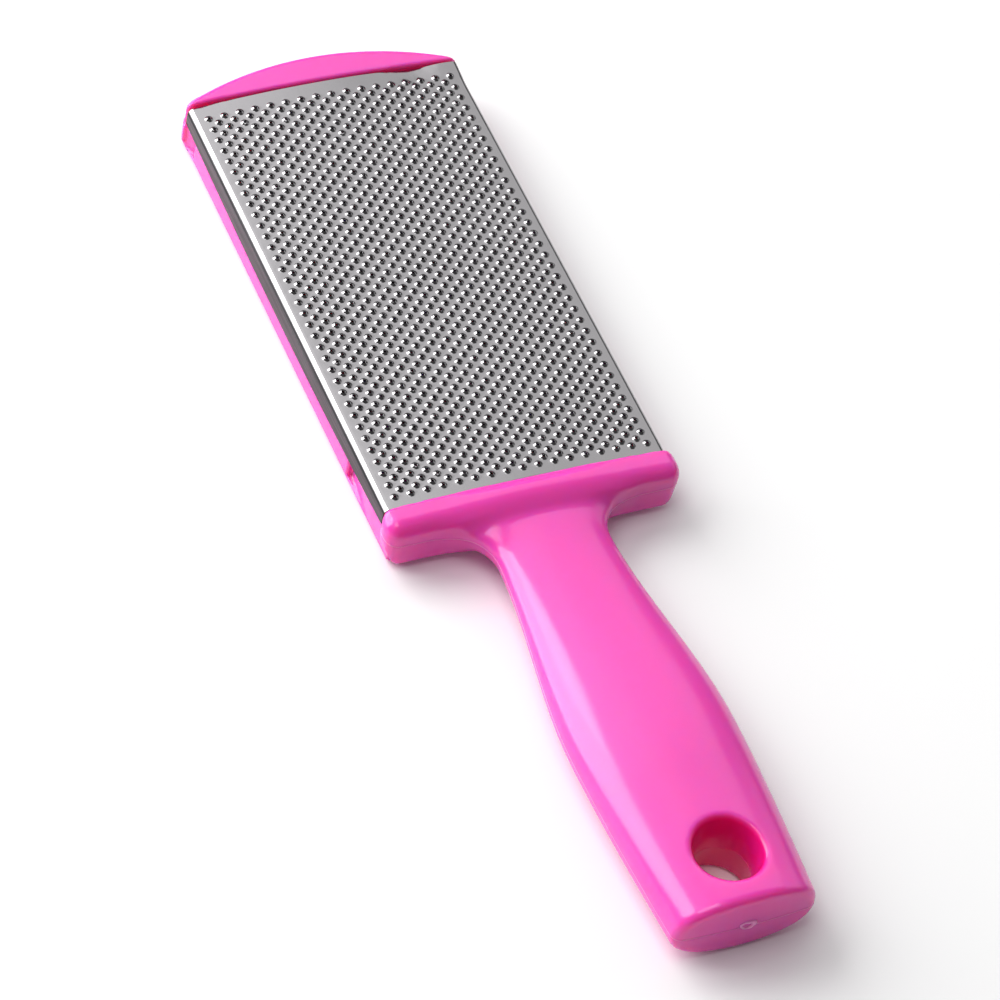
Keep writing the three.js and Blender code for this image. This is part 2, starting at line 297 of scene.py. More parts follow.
# %% Handle field
NECK_Y = BAR_FRONT - 6.4
NECK_HALF = 10.6
SWELL_Y = -60.0
SWELL_HALF = 14.85
BUTT_HALF = 12.9
BUTT_TAPER = 1.6
PALM_Y = -70.0
NECK_LIFT = 1.0
NECK_BLEND = 8.0
FLARE_SHARE = 0.985
NECK_TOP = 10.0
NECK_RISE_Y = BAR_FRONT - 1.5
NECK_RISE_RUN = 4.5
NECK_JOIN_TOP = 10.8
BUTT_BULGE = 0.5
BUTT_RIM = 1.4
INTO_BAR = 3.0
SECTION_POWER = 2.35


def handle_half_width(y):
    """Half the plan width. Next to the crossbar it flares out along a quarter circle."""
    toward_bar = np.clip(y - (BAR_FRONT - NECK_BLEND), 0, FLARE_SHARE * NECK_BLEND)
    flare = NECK_BLEND - np.sqrt(NECK_BLEND**2 - toward_bar**2)
    opening = smooth((NECK_Y - y) / (NECK_Y - SWELL_Y))
    front = NECK_HALF + (SWELL_HALF - NECK_HALF) * opening + flare
    closing = np.clip((SWELL_Y - y) / (SWELL_Y - BUTT), 0, 1) ** BUTT_TAPER
    back = SWELL_HALF - (SWELL_HALF - BUTT_HALF) * closing
    return np.where(y > SWELL_Y, front, back)


def handle_field(x, y, z):
    swell = smooth((NECK_Y - y) / (NECK_Y - PALM_Y))
    rise = smooth((y - NECK_RISE_Y) / NECK_RISE_RUN)
    top = NECK_TOP + (mould_high.z - NECK_TOP) * swell + (NECK_JOIN_TOP - NECK_TOP) * rise
    above = top - PARTING
    below = PARTING - NECK_LIFT + NECK_LIFT * swell
    width = handle_half_width(y)
    height = np.where(z > PARTING, above, below)
    n = SECTION_POWER
    u = np.abs(x) / width + 1e-6
    v = np.abs(z - PARTING) / height + 1e-6
    reach = (u**n + v**n) ** (1 / n)
    slope = np.hypot((u / reach) ** (n - 1) / width, (v / reach) ** (n - 1) / height)
    side = (reach - 1) / slope
    end = BUTT + BUTT_BULGE * (x / BUTT_HALF) ** 2 - y
    return np.maximum(meet(side, end, BUTT_RIM), y - BAR_FRONT - INTO_BAR)


widest = 2 * float(handle_half_width(np.array(SWELL_Y)))
print(f"handle is {widest:.2f} mm wide at the swell")

# %% [markdown]
# ## Crossbar and end cap
#
# Both rise a little above the plate and follow its slight crown, so a foot meets plastic and not a
# steel edge. The crossbar's front top edge is rounded generously because the thumb lands there.

# %% Crossbar and cap fields
BAR_TOP_RIM = 3.0
BAR_BOTTOM_RIM = 2.2
BAR_REAR_RIM = 0.4
BAR_END_RIM = 2.4
BAR_CORNER = 5.2
BAR_DRAFT = 0.05
CAP_RADIUS = 68.0
CAP_HALF = 27.8
CAP_SHOULDER = 3.0
CAP_TOP_RIM = 1.3
CAP_CORNER = 3.8
CAP_BOTTOM_RIM = 1.5
CAP_DRAFT = 0.04
CAP_ROOT = CAP_INNER - 1.5


def crown(x):
    """How far the head's top stands above its two ends."""
    return HEAD_CROWN * (1 - (x / mould_high.x) ** 2)


def crossbar_field(x, y, z):
    top = z - HEAD_TOP - crown(x)
    bottom = HEAD_BOTTOM - z
    end = np.abs(x) - mould_high.x + BAR_DRAFT * (HEAD_TOP - z)
    bar = meet(top, BAR_FRONT - y, BAR_TOP_RIM)
    bar = meet(bar, bottom, BAR_BOTTOM_RIM)
    bar = meet(bar, y - BAR_REAR, BAR_REAR_RIM)
    bar = meet(bar, end, BAR_END_RIM)
    return np.maximum(bar, meet(bottom, end, BAR_CORNER))


def cap_field(x, y, z):
    arc = np.hypot(x, y - CAP_APEX + CAP_RADIUS) - CAP_RADIUS
    end = np.abs(x) - CAP_HALF + CAP_DRAFT * (HEAD_TOP - z)
    top = z - HEAD_TOP - crown(x)
    bottom = HEAD_BOTTOM - z
    cap = meet(meet(arc, end, CAP_SHOULDER), top, CAP_TOP_RIM)
    cap = np.maximum(cap, meet(bottom, end, CAP_CORNER))
    cap = meet(cap, bottom, CAP_BOTTOM_RIM)
    return np.maximum(cap, CAP_ROOT - y)


cap_stands = HEAD_TOP + HEAD_CROWN - PLATE_TOP
print(f"the cap's middle stands {cap_stands:.2f} mm above the plate's edge line")

# %% [markdown]
# ## Rails, ribbed tray, pockets, recess and hole
#
# The rails are set in under the plate's folded edges, and their shoulder follows the curved lower
# edge of the fold. Inside, ribs hold the plate up while the bays between them catch the dust. Each
# rail has two shallow ramped pockets above a thin lip, where the mould's side cores were.

# %% Head bed field
RAIL_HALF = 26.6
RAIL_RIM = 0.8
SHOULDER_RIM = 0.25
BED_RIM = 0.4
FLANGE_MIDDLE = 4.95
FLANGE_RISE = 1.45
BAY_COLUMNS = 3
BAY_ROWS = 5
BAY_CORNER = 1.5
BAY_RIM = 0.3
BAY_FLOOR = 3.3
RIB = 2.0
BED_WALL = 2.2
POCKET_DEPTH = 1.2
POCKET_LIP = 1.1
POCKET_TOP = 5.5
POCKET_RIM = 0.2


def station(y):
    """-1 at the crossbar, 0 halfway along the plate and 1 at the cap."""
    return (y - HEAD_MIDDLE) / HEAD_HALF


def flange_depth(y):
    """How far the folded edge reaches down, which is furthest halfway along."""
    return FLANGE_MIDDLE - FLANGE_RISE * station(y) ** 2


def shoulder_height(y):
    return PLATE_TOP - flange_depth(y) - GAP


def bed_field(x, y, z):
    rail = meet(np.abs(x) - RAIL_HALF, HEAD_BOTTOM - z, RAIL_RIM)
    rail = meet(rail, z - shoulder_height(y), SHOULDER_RIM)
    core = np.maximum(np.abs(x) - plate_high.x + SHEET + GAP, HEAD_BOTTOM - z)
    core = meet(core, z - PLATE_TOP + SHEET + GAP, BED_RIM)
    bed = np.minimum(rail, core)
    length = np.maximum(BAR_FRONT + 2 - y, y - CAP_INNER - 1)
    return np.maximum(bed, length)


def nearest(value, pitch, count):
    """The middle of the nearest of an odd count of bays, spaced by pitch about 0."""
    last = count // 2
    return np.clip(np.round(value / pitch), -last, last) * pitch


def bays_field(x, y, z):
    inner = plate_high.x - SHEET - GAP - BED_WALL
    width = (2 * inner - RIB * (BAY_COLUMNS - 1)) / BAY_COLUMNS
    length = (CAP_INNER - BAR_REAR - RIB * (BAY_ROWS + 1)) / BAY_ROWS
    column = nearest(x, width + RIB, BAY_COLUMNS)
    row = nearest(y - HEAD_MIDDLE, length + RIB, BAY_ROWS)
    bay = rounded_rectangle(x - column, y - HEAD_MIDDLE - row, width / 2, length / 2, BAY_CORNER)
    return np.maximum(bay, BAY_FLOOR - z)


def pocket_field(x, y, z, deep_y, flush_y):
    """A pocket in both rails whose floor ramps from deep_y out to the rail's face at flush_y."""
    ramp = np.clip((y - flush_y) / (deep_y - flush_y), 0, 1)
    floor = RAIL_HALF - POCKET_DEPTH * ramp
    ends = np.maximum(min(deep_y, flush_y) - y, y - max(deep_y, flush_y))
    heights = np.maximum(POCKET_LIP - z, z - POCKET_TOP)
    return meet(meet(floor - np.abs(x), ends, POCKET_RIM), heights, POCKET_RIM)


shoulder_ends, shoulder_middle = shoulder_height(BAR_REAR), shoulder_height(HEAD_MIDDLE)
print(f"rail shoulder: {shoulder_middle:.2f} mm up halfway, {shoulder_ends:.2f} mm at the ends")

# %% [markdown]
# The whole moulding is these fields joined in the order in which they would be drawn: solid parts
# first, then the plate's seat, the bays, the pockets, the pad's recess and last the hanging hole.
# Each pocket is given by the y where it is deepest and the y where it runs out.

# %% Whole moulding
HOLE_Y = -87.8
HOLE_WAIST = 5.15
HOLE_MOUTH_UP = 1.0
HOLE_MOUTH_DOWN = 0.45
HOLE_RIM = 0.8
RECESS_CORNER = 3.3
HANDLE_FILLET = 2.5
CAP_FILLET = 1.5
SEAT_RIM = 0.25
CUT_RIM = 0.2
LOWEST = 0.02
POCKETS = [(10.0, -0.5), (87.0, 91.2)]


def hole_field(x, y, z):
    """The hanging hole, narrowest at the parting height and wider towards both mouths."""
    up = np.clip((z - PARTING) / (mould_high.z - PARTING), 0, 1)
    down = np.clip((PARTING - z) / PARTING, 0, 1)
    radius = HOLE_WAIST + HOLE_MOUTH_UP * up + HOLE_MOUTH_DOWN * down
    return np.hypot(x, y - HOLE_Y) - radius


def recess_field(x, y, z):
    """The recess for the pad, open at the bottom."""
    middle = (pad_low.y + pad_high.y) / 2
    half = (pad_high.y - pad_low.y) / 2 + GAP
    outline = rounded_rectangle(x, y - middle, pad_high.x + GAP, half, RECESS_CORNER)
    return np.maximum(outline, z - pad_high.z - GAP)


def moulding_field(x, y, z):
    body = join(handle_field(x, y, z), crossbar_field(x, y, z), HANDLE_FILLET)
    body = np.minimum(body, bed_field(x, y, z))
    body = join(body, cap_field(x, y, z), CAP_FILLET)
    seat_ends = np.maximum(BAR_REAR - y, y - CAP_INNER)
    seat = np.maximum(seat_ends, PLATE_TOP - SHEET - GAP - z)
    inward = plate_high.x - SHEET - GAP - np.abs(x)
    beside = np.maximum(inward, shoulder_height(y) - z)
    body = cut(body, seat, SEAT_RIM)
    body = cut(body, np.maximum(seat_ends, beside), CUT_RIM)
    body = cut(body, bays_field(x, y, z), BAY_RIM)
    for deep_y, flush_y in POCKETS:
        body = cut(body, pocket_field(x, y, z, deep_y, flush_y), CUT_RIM)
    body = cut(body, recess_field(x, y, z), CUT_RIM)
    body = np.maximum(body, LOWEST - z)
    return cut(body, hole_field(x, y, z), HOLE_RIM)


bar_middle = np.array([[5.0], [-8.0], [5.0]])
print(f"inside the crossbar the field is {float(moulding_field(*bar_middle)[0]):.2f}")

# %% [markdown]
# ## Laying the skin
#
# Space is divided into small cubes. Each cube that the surface passes through gets one vertex, and
# each cube edge that it crosses gets one quad between the four cubes around it: this is the
# surface nets method. The vertices are then evened out and pulled onto the exact surface along
# the field's slope, so the skin is as smooth as the field and not as coarse as the cubes.

# %% Surface nets
def slope_of(field, points, step=0.02):
    """The field and its slope at each point."""
    slopes = []
    for axis in range(3):
        nudge = np.zeros(3)
        nudge[axis] = step
        ahead = field(*(points + nudge).T)
        behind = field(*(points - nudge).T)
        slopes.append((ahead - behind) / (2 * step))
    return field(*points.T), np.stack(slopes, 1)


def pull_onto(field, points, reach, rounds=4):
    """Moves each point down the field's slope until the field is zero there."""
    for _ in range(rounds):
        value, slope = slope_of(field, points)
        steepness = np.maximum((slope**2).sum(1), 0.05)
        move = np.clip(value / steepness, -reach, reach)
        points = points - move[:, None] * slope
    return points


def even_out(points, quads, share=0.5):
    """Moves each vertex part of the way to the middle of its quads."""
    middles = points[quads].mean(1)
    total = np.zeros_like(points)
    count = np.zeros(len(points))
    for corner in range(4):
        np.add.at(total, quads[:, corner], middles)
        np.add.at(count, quads[:, corner], 1)
    return points + share * (total / np.maximum(count, 1)[:, None] - points)


def skin(field, low, high, step):
    """Vertices and quads on the surface where the field is zero."""
    ticks = [np.arange(a, b + step, step) for a, b in zip(low, high)]
    inside = field(*np.meshgrid(*ticks, indexing="ij")) < 0
    cells = tuple(n - 1 for n in inside.shape)
    corners = sum(
        inside[i : i + cells[0], j : j + cells[1], k : k + cells[2]].astype(np.int8)
        for i in (0, 1)
        for j in (0, 1)
        for k in (0, 1)
    )
    mixed = (corners > 0) & (corners < 8)
    number = np.full(cells, -1)
    number[mixed] = np.arange(mixed.sum())
    points = (np.argwhere(mixed) + 0.5) * step + np.array([t[0] for t in ticks])
    quads = []
    for axis in range(3):
        near = np.moveaxis(inside, axis, 0)
        ids = np.moveaxis(number, axis, 0)
        crossed = near[:-1, 1:-1, 1:-1] != near[1:, 1:-1, 1:-1]
        i, j, k = np.nonzero(crossed)
        ring = [ids[i, j, k], ids[i, j + 1, k], ids[i, j + 1, k + 1], ids[i, j, k + 1]]
        ring = np.stack(ring, 1)
        leaving = near[i, j + 1, k + 1]
        flip = leaving == (axis == 1)
        ring[flip] = ring[flip][:, ::-1]
        quads.append(ring)
    quads = np.concatenate(quads)
    for _ in range(3):
        points = pull_onto(field, points, step / 2, rounds=2)
        points = even_out(points, quads)
    return pull_onto(field, points, step / 2), quads


ball, _ = skin(lambda x, y, z: np.sqrt(x * x + y * y + z * z) - 2, [-3] * 3, [3] * 3, 0.5)
error = np.abs(np.linalg.norm(ball, axis=1) - 2).max()
print(f"a test ball of radius 2 mm is skinned to within {error:.4f} mm")

# %% [markdown]
# Every piece is made the same way: points in millimetres, faces, and the node of the frame that it
# stands in for. The moulding is the first.

# %% Mesh from numbers
def new_piece(name, points, faces, node):
    """Makes an object from points in millimetres, and sets it in the frame."""
    mesh = bpy.data.meshes.new(name)
    mesh.from_pydata((np.asarray(points) * MM).tolist(), [], [list(f) for f in faces])
    mesh.validate()
    mesh.shade_smooth()
    piece = bpy.data.objects.new(name, mesh)
    bpy.context.scene.collection.objects.link(piece)
    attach(piece, "root")
    if node:
        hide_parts(node)
    print(f"{name}: {len(mesh.vertices)} vertices, {len(mesh.polygons)} faces")
    return piece


# %% The moulding
SKIN_STEP = 0.5
MARGIN = 1.0
low = [mould_low.x - MARGIN, mould_low.y - MARGIN, -MARGIN]
high = [mould_high.x + MARGIN, mould_high.y + MARGIN, mould_high.z + MARGIN]
mould_points, mould_quads = skin(moulding_field, low, high, SKIN_STEP)
moulding = new_piece("handle_moulding", mould_points, mould_quads, "handle_frame")

# %% [markdown]
# ## Mould marks
#
# A moulding keeps traces of its mould. The two halves of the mould leave a hairline of flash where
# they met: round the handle, the crossbar and the cap, and inside the hanging hole. The plastic
# that fed the mould leaves a torn stub on the butt. Slicing the skin at the parting height gives
# the hairline its exact path, and a very thin round curve along that path gives it its body.

# %% Parting line
FLASH_RADIUS = 0.05
FLASH_STOP_BAR = BAR_REAR - 0.6
FLASH_START_CAP = CAP_INNER + 1.2


def slice_edges(piece, height, keep):
    """A new object with the edges where a level plane cuts the piece."""
    cutting = bmesh.new()
    cutting.from_mesh(piece.data)
    everything = cutting.verts[:] + cutting.edges[:] + cutting.faces[:]
    found = bmesh.ops.bisect_plane(
        cutting, geom=everything, plane_co=(0, 0, height * MM), plane_no=(0, 0, 1)
    )
    edges = [g for g in found["geom_cut"] if isinstance(g, bmesh.types.BMEdge)]
    edges = [e for e in edges if all(keep(v.co / MM) for v in e.verts)]
    used = sorted({v for e in edges for v in e.verts}, key=lambda v: v.index)
    place = {v: n for n, v in enumerate(used)}
    mesh = bpy.data.meshes.new("slice")
    mesh.from_pydata([v.co.copy() for v in used], [[place[v] for v in e.verts] for e in edges], [])
    cutting.free()
    return bpy.data.objects.new("slice", mesh)


def as_bead(outline, name, radius):
    """Turns loose edges into a thin round bead of solid mesh."""
    bpy.context.scene.collection.objects.link(outline)
    bpy.ops.object.select_all(action="DESELECT")
    bpy.context.view_layer.objects.active = outline
    outline.select_set(True)
    bpy.ops.object.convert(target="CURVE")
    bead = bpy.context.object
    bead.data.bevel_depth = radius * MM
    bead.data.bevel_resolution = 1
    bead.data.use_fill_caps = True
    bpy.ops.object.convert(target="MESH")
    bead = bpy.context.object
    bead.select_set(False)
    bead.name = name
    bead.data.shade_smooth()
    return bead


parting_outline = slice_edges(
    moulding, PARTING, lambda co: co.y < FLASH_STOP_BAR or co.y > FLASH_START_CAP
)
parting_line = as_bead(parting_outline, "parting_line", FLASH_RADIUS)
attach(parting_line, "root")
print("parting line:", len(parting_line.data.vertices), "vertices")

# %% Gate stub
GATE_RADIUS = 1.0
GATE_HEIGHT = PARTING + 0.35
GATE_WIDE = 1.15
GATE_TALL = 0.9
GATE_SINK = 0.03


def gate_stub():
    """A torn ring of plastic, thicker and higher on one side, standing off the butt."""
    around, across = 28, 8
    points, faces = [], []
    for i in range(around):
        angle = 2 * math.pi * i / around
        ragged = 0.5 + 0.5 * math.cos(angle - 0.4) + 0.12 * math.sin(5 * angle)
        thick = 0.22 + 0.24 * max(ragged, 0)
        ring_radius = GATE_RADIUS * (1 + 0.08 * math.sin(3 * angle))
        stands = 0.10 + 0.34 * max(ragged, 0)
        for j in range(across):
            roll = 2 * math.pi * j / across
            out = ring_radius + thick * math.cos(roll)
            x = GATE_WIDE * out * math.cos(angle)
            y = BUTT + GATE_SINK - stands * math.sin(roll)
            z = GATE_HEIGHT + GATE_TALL * out * math.sin(angle)
            points.append((x, y, z))
            a, b = i * across + j, i * across + (j + 1) % across
            shift = ((i + 1) % around - i) * across
            faces.append((a, b, b + shift, a + shift))
    return points, faces


gate_points, gate_faces = gate_stub()
gate = new_piece("gate_stub", gate_points, gate_faces, None)

# %% [markdown]
# ## The punched plate
#
# The real plate starts as a flat strip. A press pushes rows of punches up through it, so each
# tooth is a little volcano with a sharp, slightly torn lip and a hole down the middle, and then
# both long edges are folded. The mesh is made in the same order: one diamond tile holds one
# tooth, tiles repeat over the flat strip, and a bending function folds the strip afterwards. A
# displacement map couldn't do this, because the holes go right through. Each row of the profile is
# a ring's radius and height, from the foot of the tooth over its lip and down the hole.

# %% One tooth
PITCH_ACROSS = 3.0
PITCH_ALONG = 2.685
SIDES = 16
LIP = 5
NEXT_TO_LIP = 0.45
PETALS = 4
PETAL_WIDTH = 0.05
PETAL_HEIGHT = 0.06
TORN = 0.035
TOOTH_PROFILE = [
    (0.80, 0.0),
    (0.74, 0.012),
    (0.66, 0.08),
    (0.55, 0.18),
    (0.44, 0.28),
    (0.34, 0.36),
    (0.28, 0.27),
    (0.24, 0.10),
    (0.22, -0.06),
    (0.44, -SHEET),
]


def tile_edge():
    """The outline of one diamond tile, with extra points along its sides."""
    right, back = (PITCH_ACROSS / 2, 0), (0, PITCH_ALONG / 2)
    left, front = (-PITCH_ACROSS / 2, 0), (0, -PITCH_ALONG / 2)
    corners = np.array([right, back, left, front])
    steps = SIDES // 4
    points = []
    for corner in range(4):
        for step in range(steps):
            t = step / steps
            points.append(corners[corner] * (1 - t) + corners[(corner + 1) % 4] * t)
    return np.array(points)


def tooth_rings(rng):
    """The rings of one tooth, each a little different, as punched teeth are."""
    angle = np.arange(SIDES) * 2 * math.pi / SIDES
    petals = np.cos(PETALS * (angle - 0.5) + rng.normal(0, 0.25))
    tear = TORN * rng.normal(0, 1, SIDES)
    size = 1 + rng.normal(0, 0.02)
    rings = []
    for number, (radius, height) in enumerate(TOOTH_PROFILE):
        near_lip = {0: 1.0, 1: NEXT_TO_LIP}.get(abs(number - LIP), 0.0)
        r = radius * size * (1 - PETAL_WIDTH * near_lip * petals)
        z = height + near_lip * (PETAL_HEIGHT * petals + tear)
        rings.append(np.stack([r * np.cos(angle), r * np.sin(angle), z * np.ones(SIDES)], 1))
    return rings


print("a tooth has", len(TOOTH_PROFILE), "rings of", SIDES, "points")

# %% [markdown]
# Teeth are punched everywhere but in a margin round the edge. The tiles in the margin are plain
# diamonds, so it stays smooth.

# %% The flat strip
BEND = 1.2
LATTICE_MIDDLE = 42.8
FLAT_HALF = plate_high.x - BEND
BEND_LENGTH = BEND * math.pi / 2
FLANGE_LENGTH = 3.0
STRIP_HALF = FLAT_HALF + BEND_LENGTH + FLANGE_LENGTH
LAST_ROW = 34
LAST_COLUMN = 16


def flat_strip():
    """Points and faces of the strip: every second place of the lattice holds one tile."""
    rng = np.random.default_rng(7)
    edge = tile_edge()
    top = np.column_stack([edge, np.zeros(SIDES)])
    bottom = np.column_stack([edge, np.full(SIDES, -SHEET)])
    around = np.arange(SIDES)
    after = (around + 1) % SIDES
    points, faces, start, teeth = [], [], 0, 0
    columns = math.ceil(STRIP_HALF / (PITCH_ACROSS / 2)) + 1
    rows = math.ceil(HEAD_HALF / (PITCH_ALONG / 2)) + 2
    for column in range(-columns, columns + 1):
        for row in range(-rows, rows + 1):
            if (column + row) % 2:
                continue
            along = LATTICE_MIDDLE - HEAD_MIDDLE + row * PITCH_ALONG / 2
            centre = np.array([column * PITCH_ACROSS / 2, along, 0])
            punched = abs(column) <= LAST_COLUMN and abs(row) <= LAST_ROW
            if punched:
                rings = [top, *tooth_rings(rng), bottom]
                for outer in range(len(rings) - 1):
                    a, b = start + outer * SIDES, start + (outer + 1) * SIDES
                    band = np.column_stack([a + around, a + after, b + after, b + around])
                    faces.extend(band.tolist())
                teeth += 1
            else:
                rings = [top, bottom]
                faces.append((start + around).tolist())
                faces.append((start + SIDES + around[::-1]).tolist())
            points.append(np.concatenate(rings) + centre)
            start += len(rings) * SIDES
    print("teeth punched:", teeth)
    return np.concatenate(points), faces


def weld(points, faces):
    """Joins the points that neighbouring tiles share."""
    rounded = np.round(points, 3)
    _, first, same = np.unique(rounded, axis=0, return_index=True, return_inverse=True)
    same = same.ravel()
    return points[first], [[int(same[v]) for v in face] for face in faces]


# %% [markdown]
# The strip is cut to size, its edge is given a thickness and its long edges are folded. The
# finished face isn't flat: it is crowned across, more so at its ends, and has a shallow wave next
# to the cap.

# %% Trim, edge and fold the strip
CREASES = 7
WELD = 0.002
SHARP_ANGLE = 50
CROWN_MIDDLE = 0.29
CROWN_ENDS = 0.61
CROWN_CAP = 0.5
NEAR_CAP = 6.0
DIP = 0.5
DIP_X = 16.0
DIP_WIDTH = 4.5
LIFT = 0.6
LIFT_X = 18.0
LIFT_RUN = 7.0


def trimmed(strip):
    """Cuts the strip to size, adds crease lines for the bend, and gives its edge a thickness."""
    half_length = HEAD_HALF - GAP
    for sign in (1, -1):
        for limit, normal in ((STRIP_HALF, (sign, 0, 0)), (half_length, (0, sign, 0))):
            everything = strip.verts[:] + strip.edges[:] + strip.faces[:]
            place = Vector(normal) * limit
            bmesh.ops.bisect_plane(
                strip, geom=everything, plane_co=place, plane_no=normal, clear_outer=True
            )
        for step in range(CREASES):
            crease = FLAT_HALF + BEND_LENGTH * step / (CREASES - 1)
            outside = [f for f in strip.faces if sign * f.calc_center_median().x > FLAT_HALF - 2]
            parts = outside + list({v for f in outside for v in f.verts})
            parts += list({e for f in outside for e in f.edges})
            bmesh.ops.bisect_plane(
                strip, geom=parts, plane_co=(sign * crease, 0, 0), plane_no=(sign, 0, 0)
            )
    rim = [e for e in strip.edges if e.is_boundary and all(v.co.z > -SHEET / 2 for v in e.verts)]
    wall = bmesh.ops.extrude_edge_only(strip, edges=rim)
    for part in wall["geom"]:
        if isinstance(part, bmesh.types.BMVert):
            part.co.z -= SHEET
    loose = [v for v in strip.verts if v.is_boundary]
    bmesh.ops.remove_doubles(strip, verts=loose, dist=WELD)
    bmesh.ops.recalc_face_normals(strip, faces=strip.faces[:])


def crowned(s, x, y):
    """How far the face stands above a flat one: its crown, and a shallow wave next to the cap."""
    towards_cap = np.clip(station(y), 0, 1) ** 4
    rise = CROWN_MIDDLE + CROWN_ENDS * station(y) ** 2 + CROWN_CAP * towards_cap
    height = rise * (1 - np.clip(np.abs(x) / FLAT_HALF, 0, 1) ** 2)
    near_cap = smooth((y - CAP_INNER + NEAR_CAP) / NEAR_CAP)
    height = height - DIP * np.exp(-(((x - DIP_X) / DIP_WIDTH) ** 2)) * near_cap
    on_face = np.abs(s) < FLAT_HALF + BEND_LENGTH
    return height + LIFT * smooth((x - LIFT_X) / LIFT_RUN) * near_cap * on_face


def folded(points):
    """Where each point of the flat strip goes when the long edges are folded down."""
    s, y, h = points.T
    side = np.sign(s)
    past = np.clip(np.abs(s) - FLAT_HALF, 0, None)
    angle = np.clip(past / BEND, 0, math.pi / 2)
    down = np.clip((past - BEND_LENGTH) / FLANGE_LENGTH, 0, 1)
    fold_y = y + HEAD_MIDDLE
    x = np.where(past > 0, side * (FLAT_HALF + (BEND + h) * np.sin(angle)), s)
    z = np.where(past > 0, (BEND + h) * np.cos(angle) - BEND, h)
    z = z - down * (flange_depth(fold_y) - BEND)
    return np.stack([x, fold_y, z + PLATE_TOP + crowned(s, x, fold_y)], 1)


strip_points, strip_faces = weld(*flat_strip())
strip_mesh = bpy.data.meshes.new("strip")
strip_mesh.from_pydata(strip_points.tolist(), [], strip_faces)
strip = bmesh.new()
strip.from_mesh(strip_mesh)
trimmed(strip)
strip.verts.ensure_lookup_table()
open_edges = sum(not e.is_manifold for e in strip.edges)
plate_points = folded(np.array([v.co for v in strip.verts]))
plate_faces = [[v.index for v in f.verts] for f in strip.faces]
strip.free()
bpy.data.meshes.remove(strip_mesh)
plate = new_piece("punched_plate", plate_points, plate_faces, "rasp_plate")
plate.data.set_sharp_from_angle(angle=math.radians(SHARP_ANGLE))
print("open edges on the plate:", open_edges)

# %% [markdown]
# ## The smoothing pad
#
# A sheet of fine grit on a firm backing fills the recess in the underside. Its working face is
# rough at two scales: grains that catch the light one by one, and the slight unevenness of the
# glue under them. The larger scale is real geometry and the grains are bump.

# %% Pad
PAD_CORNER = 3.0
PAD_UPPER_RIM = 0.2
PAD_LOWER_RIM = 0.25
PAD_MARGIN_BELOW = 0.9
PAD_STEP = 0.6


def pad_field(x, y, z):
    middle = (pad_low.y + pad_high.y) / 2
    half = (pad_high.y - pad_low.y) / 2
    flat = rounded_rectangle(x, y - middle, pad_high.x, half, PAD_CORNER)
    uneven = 0.04 + 0.02 * np.sin(1.9 * x + 0.7 * y) + 0.02 * np.sin(2.3 * y - 1.1 * x)
    lower = pad_low.z + uneven - z
    return meet(meet(flat, z - pad_high.z, PAD_UPPER_RIM), lower, PAD_LOWER_RIM)


low = [pad_low.x - MARGIN, pad_low.y - MARGIN, pad_low.z - PAD_MARGIN_BELOW]
high = [pad_high.x + MARGIN, pad_high.y + MARGIN, pad_high.z + MARGIN]
pad_points, pad_quads = skin(pad_field, low, high, PAD_STEP)
pad = new_piece("grit_pad", pad_points, pad_quads, "smoothing_pad")

# %% [markdown]
# ## Finishes
#
# ** Pink plastic.** Glossy, coloured right through and translucent, so light that enters a thin
# edge comes out redder; subsurface scattering gives that. The wall of the hanging hole is painted a
# deeper red: painted shade for the red of light that passes through the most plastic there. A faint
# waviness in the gloss comes from the mould's polish.
# The flash line and the gate use a paler pink: on the flash line it is a painted highlight, and the
# gate is given the same paler pink.

# %% Pink plastic
PINK = [(0.83, 0.069, 0.46, 1), (0.86, 0.076, 0.48, 1)]
# Paler pink: a painted highlight on the flash line, and the same pale colour on the gate.
PALE_PINK = [(0.95, 0.26, 0.62, 1), (0.97, 0.32, 0.68, 1)]
# Painted shade: the deeper red of the hanging hole's wall.
HOLE_PAINTED_RED_SHADE = (0.80, 0.006, 0.24, 1)
HOLE_INSIDE = 5.9 * MM
HOLE_OUTSIDE = 7.0 * MM


def pink(name, scatter, low, high):
    """Glossy pink plastic, clouded between two shades. A larger scatter makes it look softer."""
    plastic = Finish(
        name,
        Base_Color=low,
        Roughness=0.2,
        IOR=1.56,
        Subsurface_Weight=scatter,
        Subsurface_Radius=(1.0, 0.06, 0.12),
        Subsurface_Scale=0.004,
    )
    cloudy = plastic.noise(plastic.place(), 60, 3)
    fine = plastic.noise(plastic.place(), 900, 2)
    across, along, _ = plastic.parts(plastic.place())
    from_axis = across * across + (along - HOLE_Y * MM) * (along - HOLE_Y * MM)
    hole_shade_mask = from_axis.ramp(HOLE_OUTSIDE**2, HOLE_INSIDE**2)
    coloured = plastic.blend(cloudy, low, high)
    # The wall of the hanging hole is blended to the painted red shade.
    plastic.feed(
        Base_Color=plastic.blend(hole_shade_mask, coloured, HOLE_PAINTED_RED_SHADE),
        Roughness=0.13 + 0.05 * cloudy + 0.03 * fine,
    )
    plastic.bump(plastic.noise(plastic.place(), 140, 2) + 0.15 * fine, 0.00002)
    return plastic


def dress(piece, finish):
    """Gives a piece one material and no other."""
    piece.data.materials.clear()
    piece.data.materials.append(finish.material)


dress(moulding, pink("pink_plastic", 0.85, *PINK))
# The paler pink is a painted highlight on the flash line; the gate is given the same paler pink.
pale_and_highlight_marks = pink("pink_plastic_pale_highlight", 0.0, *PALE_PINK)
dress(parting_line, pale_and_highlight_marks)
dress(gate, pale_and_highlight_marks)
print("pink:", [piece.name for piece in (moulding, parting_line, gate)])
